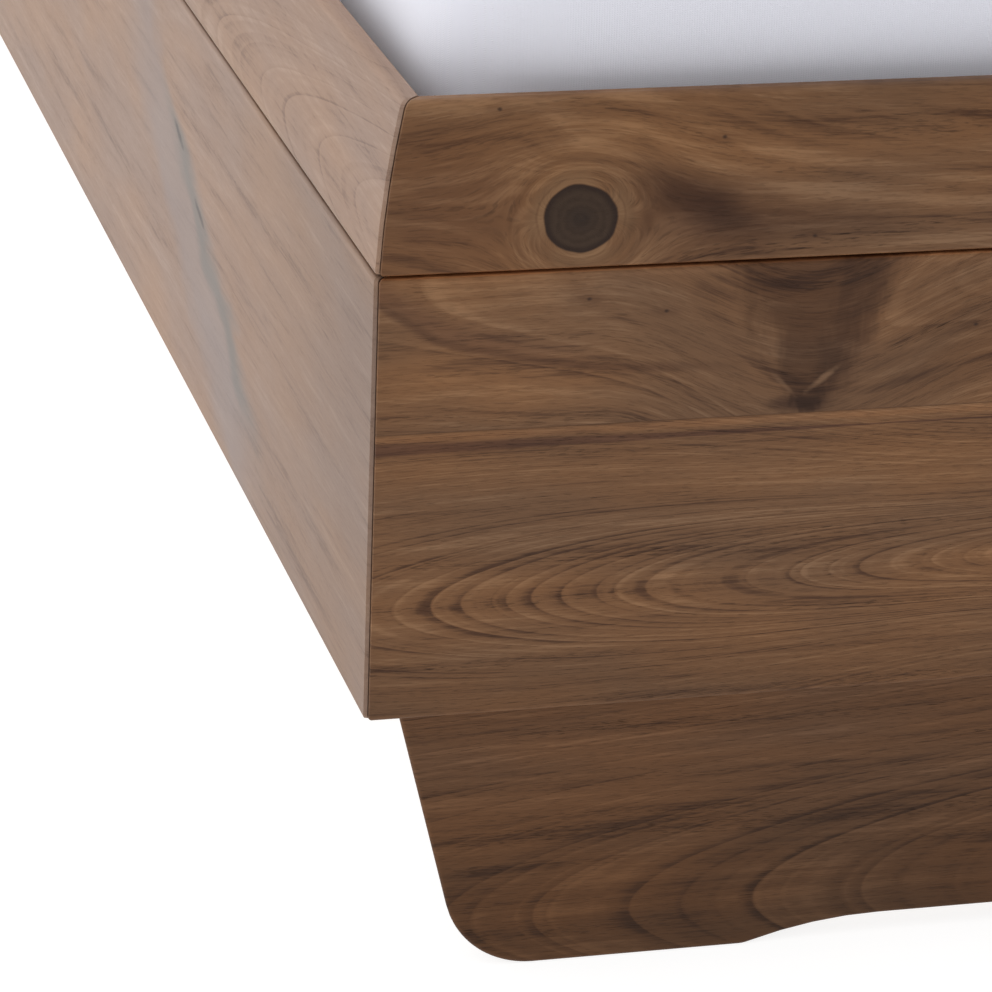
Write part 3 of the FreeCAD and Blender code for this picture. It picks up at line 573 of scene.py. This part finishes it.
CATHEDRAL = {
    "seed": 4.1,
    "centre": 0.0510,
    "drift": 0.030,
    "width": 0.0026,
    "blunt": 0.0076,
    "spacing": 0.014,
    "sway": 0.0018,
    "bands": 0.80,
    "lines": 1.0,
    "rings": (-0.022, 0.027, 0.040, 0.060, 0.071, 0.100, 0.122, 0.187, 0.219, 0.252),
}
UPPER_PLANK = {
    "seed": 11.3,
    "centre": 0.196,
    "width": 0.0130,
    "spacing": 0.034,
    "sway": 0.009,
    "bands": 0.75,
    "lines": 0.6,
    "dip": (CROTCH_U, 0.095, 0.030),
}
FOOT_CAP = {
    "seed": 21.7,
    "centre": 0.300,
    "width": 0.020,
    "spacing": 0.060,
    "sway": 0.009,
    "bands": 1.0,
    "lines": 0.7,
    "eyes": ((KNOT_CENTRE, 0.036, 1.6),),
}
FOOT_RUNNER = {
    "seed": 33.9,
    "centre": -0.111,
    "width": 0.0185,
    "spacing": 0.022,
    "sway": 0.003,
    "bands": 0.6,
    "rings": (0.073, 0.118, 0.176, 0.228),
}
SIDE_RAIL_PLANK = {
    "seed": 51.2,
    "centre": 0.270,
    "width": 0.035,
    "spacing": 0.110,
    "sway": 0.008,
    "bands": 0.35,
    "lines": 0.25,
}
SIDE_CAP_PLANK = {
    "seed": 63.4,
    "centre": 0.2240,
    "drift": -0.04,
    "width": 0.0066,
    "opens": -1,
    "spacing": 0.030,
    "sway": 0.002,
    "bands": 0.5,
    "lines": 0.6,
    "rings": (0.359, 0.251, 0.198, 0.124, 0.052),
}
HEAD_PLANK = {"seed": 80.0, "centre": 0.43, "width": 0.045, "spacing": 0.060}
STILE_PLANK = {"seed": 170.0, "centre": 0.09, "spacing": 0.12}
SPRUCE_PLANK = {
    "centre": -0.04,
    "width": 0.0175,
    "spacing": 0.30,
    "sway": 0.002,
    "bands": 0.55,
    "lines": 0.6,
}
RIGHT_SEED_SHIFT = 17

HEAD_NODES = ("head_rail", "head_cap", "head_runner", "headboard_lower_board", "headboard_middle_board",
              "headboard_top_board")
STILES = ("left_headboard_stile", "right_headboard_stile")
LENGTHWAYS_NODES = ("base_left_stringer", "base_centre_stringer", "base_right_stringer", "left_ledge",
                    "right_ledge", "centre_beam")


def dress_foot(rail_edges, cap_edges):
    """The boards of the foot end, with the features that can be recognised on them."""
    cap = [(0, FOOT_CAP, foot_cap_extras)]
    knots = ((*KNOT_CENTRE, KNOT_FLOW_RADIUS),)
    assign("foot_cap", wood_material("foot_cap_walnut", "x", FOOT_LEFT, WALNUT, cap, knots, cap_edges))
    rail = [(GLUE_LINE, UPPER_PLANK, foot_rail_upper_extras), (0, CATHEDRAL, foot_rail_lower_extras)]
    assign("foot_rail", wood_material("foot_rail_walnut", "x", FOOT_LEFT, WALNUT, rail, (), rail_edges))
    # The runner takes the darker walnut with painted shade.
    runner = [(0, FOOT_RUNNER, foot_runner_extras)]
    assign("foot_runner", wood_material("foot_runner_walnut", "x", FOOT_LEFT, RUNNER_WALNUT_PAINTED_SHADE, runner))


def dress_side(side, start, extras, seed_shift, rail_edges, cap_edges):
    """A side rail and its cap; seed_shift gives the same kind of boards another grain."""
    rail = [(0, dict(SIDE_RAIL_PLANK, seed=SIDE_RAIL_PLANK["seed"] + seed_shift), extras)]
    cap = [(0, dict(SIDE_CAP_PLANK, seed=SIDE_CAP_PLANK["seed"] + seed_shift), no_extras)]
    # Both sides' rails and caps take the walnut with the painted sheen.
    rail = wood_material(f"{side}_rail_walnut", "y", start, SIDE_WALNUT_PAINTED_SHEEN, rail, (), rail_edges)
    assign(f"{side}_side_rail", rail)
    cap = wood_material(f"{side}_cap_walnut", "y", start, SIDE_WALNUT_PAINTED_SHEEN, cap, (), cap_edges)
    assign(f"{side}_side_cap", cap)


def dress_frame():
    # Heights of the rounded edges that get a painted highlight.
    rail_edges = (0.0008, CAP_BOTTOM - 0.0018)
    cap_edges = (CAP_BOTTOM + 0.0008, CAP_TOP - 0.0012)
    dress_foot(rail_edges, cap_edges)
    foot_right = Vector((-FOOT_LEFT.x, FOOT_LEFT.y, FOOT_LEFT.z))
    dress_side("left", FOOT_LEFT, side_rail_extras, 0, rail_edges, cap_edges)
    dress_side("right", foot_right, no_extras, RIGHT_SEED_SHIFT, rail_edges, cap_edges)

    head = Vector((FOOT_LEFT.x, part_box("head_rail")[1].y, FOOT_LEFT.z))
    walnut = wood_material("head_walnut", "x", head, WALNUT, [(0, HEAD_PLANK, no_extras)], varied=0.5)
    for node in HEAD_NODES:
        assign(node, walnut)
    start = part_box(STILES[0])[0]
    walnut = wood_material("stile_walnut", "z", start, WALNUT, [(0, STILE_PLANK, no_extras)], varied=0.1)
    for node in STILES:
        assign(node, walnut)


def dress_base():
    """Pale softwood for the base and its supports, one material for each way that the grain runs."""
    slats = [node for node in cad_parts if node.startswith("slat_") and node != "slat_screws"]
    runs = (("y", 200.0, LENGTHWAYS_NODES), ("z", 210.0, ("centre_leg",)), ("x", 220.0, slats))
    for along, seed, nodes in runs:
        planks = [(0, dict(SPRUCE_PLANK, seed=seed), no_extras)]
        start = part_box(nodes[0])[0]
        spruce = wood_material(f"spruce_along_{along}", along, start, SPRUCE, planks, varied=0.1)
        for node in nodes:
            assign(node, spruce)
    planks = [(0, dict(SPRUCE_PLANK, seed=300.0, centre=0.0), no_extras)]
    beech = wood_material("beech", "z", FOOT_LEFT, BEECH, planks)
    for node in ("cap_dowels", "mitre_splines"):
        assign(node, beech)


def dress_fittings():
    coated = metal_material("powder_coat", (0.020, 0.020, 0.022), 0.0, 0.55, 1500, 0.00005)
    plated = metal_material("zinc_plate", (0.56, 0.57, 0.59), 1.0, 0.34, 2600, 0.00002)
    moulded = metal_material("moulded_plastic", (0.030, 0.030, 0.031), 0.0, 0.62, 2200, 0.00004)
    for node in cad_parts:
        if node.endswith(("bracket", "hanger")):
            assign(node, coated)
        elif node.endswith(("screws", "bolts", "leg_bolt", "insert", "stem")):
            assign(node, plated)
        elif node == "levelling_pad":
            assign(node, moulded)


# Mattress

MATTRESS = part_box("mattress")
CORNER_RADIUS = 0.048
EDGE_RADIUS = 0.030
SHARP = 1.2  # radians; only the edges round the top and bottom are turned more than this
START_SHRINK = Vector((0.0035, 0.0035, 0.003))
VOXEL = 0.014
PRESSURE = 4
CLOTH_QUALITY = 4
MOST_SWELL = 0.005
SWELL_FRAMES = 20
FULLNESS = ((3.1, 0.0011), (9.0, 0.0004))  # how often per metre the foam rises and sinks, and how far


def rounded_block(name, low, high):
    """A closed block with round upright corners and softly rounded upper and lower edges."""
    mesh = bmesh.new()
    bmesh.ops.create_cube(mesh, size=1)
    size = high - low
    for vertex in mesh.verts:
        vertex.co = Vector(part * span for part, span in zip(vertex.co, size)) + (low + high) / 2
    upright = [e for e in mesh.edges if abs((e.verts[0].co - e.verts[1].co).z) > size.z / 2]
    bmesh.ops.bevel(mesh, geom=upright, offset=CORNER_RADIUS, segments=8, profile=0.5, affect="EDGES")
    level = [e for e in mesh.edges if len(e.link_faces) == 2 and e.calc_face_angle(0) > SHARP]
    bmesh.ops.bevel(mesh, geom=level, offset=EDGE_RADIUS, segments=6, profile=0.5, affect="EDGES")
    data = bpy.data.meshes.new(name)
    mesh.to_mesh(data)
    mesh.free()
    made = bpy.data.objects.new(name, data)
    bpy.context.scene.collection.objects.link(made)
    return made


def apply_modifiers(piece):
    graph = bpy.context.evaluated_depsgraph_get()
    data = bpy.data.meshes.new_from_object(piece.evaluated_get(graph))
    piece.modifiers.clear()
    piece.data = data


def swell(piece):
    """Blows the mattress up a little as cloth under pressure, and limits how far each point moves."""
    rest = [vertex.co.copy() for vertex in piece.data.vertices]
    cloth = piece.modifiers.new("cloth", "CLOTH")
    cloth.settings.use_pressure = True
    cloth.settings.uniform_pressure_force = PRESSURE
    cloth.settings.effector_weights.gravity = 0
    cloth.settings.quality = CLOTH_QUALITY
    for step in range(1, SWELL_FRAMES + 1):
        bpy.context.scene.frame_set(step)
    apply_modifiers(piece)
    bpy.context.scene.frame_set(1)
    for vertex, start in zip(piece.data.vertices, rest):
        move = vertex.co - start
        if move.length > MOST_SWELL:
            vertex.co = start + move.normalized() * MOST_SWELL


def relax_cover(piece):
    """Shallow, uneven fullness of the foam under the sheet, none where it stands on the slats."""
    height = MATTRESS[1].z - MATTRESS[0].z
    for vertex in piece.data.vertices:
        lift = max(0, min(1, (vertex.co.z - MATTRESS[0].z) / height))
        fullness = sum(noise.noise(vertex.co * often) * depth for often, depth in FULLNESS)
        vertex.co += vertex.normal * fullness * lift


def mattress():
    """The mattress in its fitted sheet, as one soft piece in place of the CAD's block."""
    piece = rounded_block("mattress_cover", MATTRESS[0] + START_SHRINK, MATTRESS[1] - START_SHRINK)
    remesh = piece.modifiers.new("remesh", "REMESH")
    remesh.mode = "VOXEL"
    remesh.voxel_size = VOXEL
    apply_modifiers(piece)
    swell(piece)
    relax_cover(piece)
    smooth = piece.modifiers.new("smooth", "SMOOTH")
    smooth.factor = 0.5
    smooth.iterations = 4
    piece.modifiers.new("subdivision", "SUBSURF").levels = 1
    apply_modifiers(piece)
    piece.data.polygons.foreach_set("use_smooth", [True] * len(piece.data.polygons))
    piece.data.materials.clear()
    piece.data.materials.append(sheet_material())
    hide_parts("mattress")
    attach(piece, "mattress")


# Camera and light

CAMERA_YAW = math.radians(14.85)
CAMERA_PITCH = math.radians(-21.24)
CAMERA_ROLL = math.radians(-2.06)
CAMERA_OFFSET = Vector((-0.3813, -1.6441, 0.7620))
CAMERA_LENS = 156.4
LEAST_LIGHT = 0.36
MOST_LIGHT = 1.20
FLOOR_SIZE = 60
FLOOR_GLOW = 0.85


def camera():
    """The camera, placed from the lower outer corner of the rails at the foot's left."""
    yaw, pitch, roll = CAMERA_YAW, CAMERA_PITCH, CAMERA_ROLL
    forward = Vector((math.sin(yaw) * math.cos(pitch), math.cos(yaw) * math.cos(pitch), math.sin(pitch)))
    level = Vector((math.cos(yaw), -math.sin(yaw), 0))
    down = forward.cross(level)
    right = level * math.cos(roll) + down * math.sin(roll)
    up = level * math.sin(roll) - down * math.cos(roll)
    data = bpy.data.cameras.new("camera")
    data.lens = CAMERA_LENS
    data.clip_end = 100
    view = bpy.data.objects.new("camera", data)
    turned = Matrix((right, up, -forward)).transposed().to_4x4()
    view.matrix_world = Matrix.Translation(FOOT_LEFT + CAMERA_OFFSET) @ turned
    bpy.context.scene.collection.objects.link(view)
    bpy.context.scene.camera = view


def studio():
    """Soft white light from the left, behind and above, less of it from the foot end, on a pale floor."""
    world = bpy.data.worlds.new("studio")
    bpy.context.scene.world = world
    world.use_nodes = True
    graph = Graph(world.node_tree)
    background = world.node_tree.nodes["Background"]
    source = world.node_tree.nodes.new("ShaderNodeTexCoord")
    split = world.node_tree.nodes.new("ShaderNodeSeparateXYZ")
    world.node_tree.links.new(source.outputs["Generated"], split.inputs[0])
    x, y, z = (Field(graph, split.outputs[axis]) for axis in range(3))
    bright = graph.smooth(z * 0.45 + y * 0.55 - x * 0.60, -0.75, 0.75)
    lit = LEAST_LIGHT + bright * (MOST_LIGHT - LEAST_LIGHT)
    seen = graph.node("ShaderNodeLightPath", output="Is Camera Ray")
    graph.put(background.inputs["Color"], (1.0, 0.995, 0.985))
    graph.put(background.inputs["Strength"], lit + (1.0 - lit) * seen)

    bpy.ops.mesh.primitive_plane_add(size=FLOOR_SIZE)
    floor = bpy.context.object
    floor.name = "floor"
    material, graph, shader = new_material("pale_floor")
    x, y, z = graph.place()
    cloud = graph.noise(graph.point(x * 2, y * 2, 0.0), 3.0)
    grey = graph.blend(cloud, (0.30, 0.30, 0.30), (0.33, 0.33, 0.33))
    finish_surface(graph, shader, grey, 0.9, cloud, 0.0002)
    shader.inputs["Emission Color"].default_value = (1, 1, 1, 1)
    shader.inputs["Emission Strength"].default_value = FLOOR_GLOW
    floor.data.materials.append(material)


dress_frame()
dress_base()
dress_fittings()
mattress()
camera()
studio()
bpy.context.scene.view_settings.view_transform = "Standard"
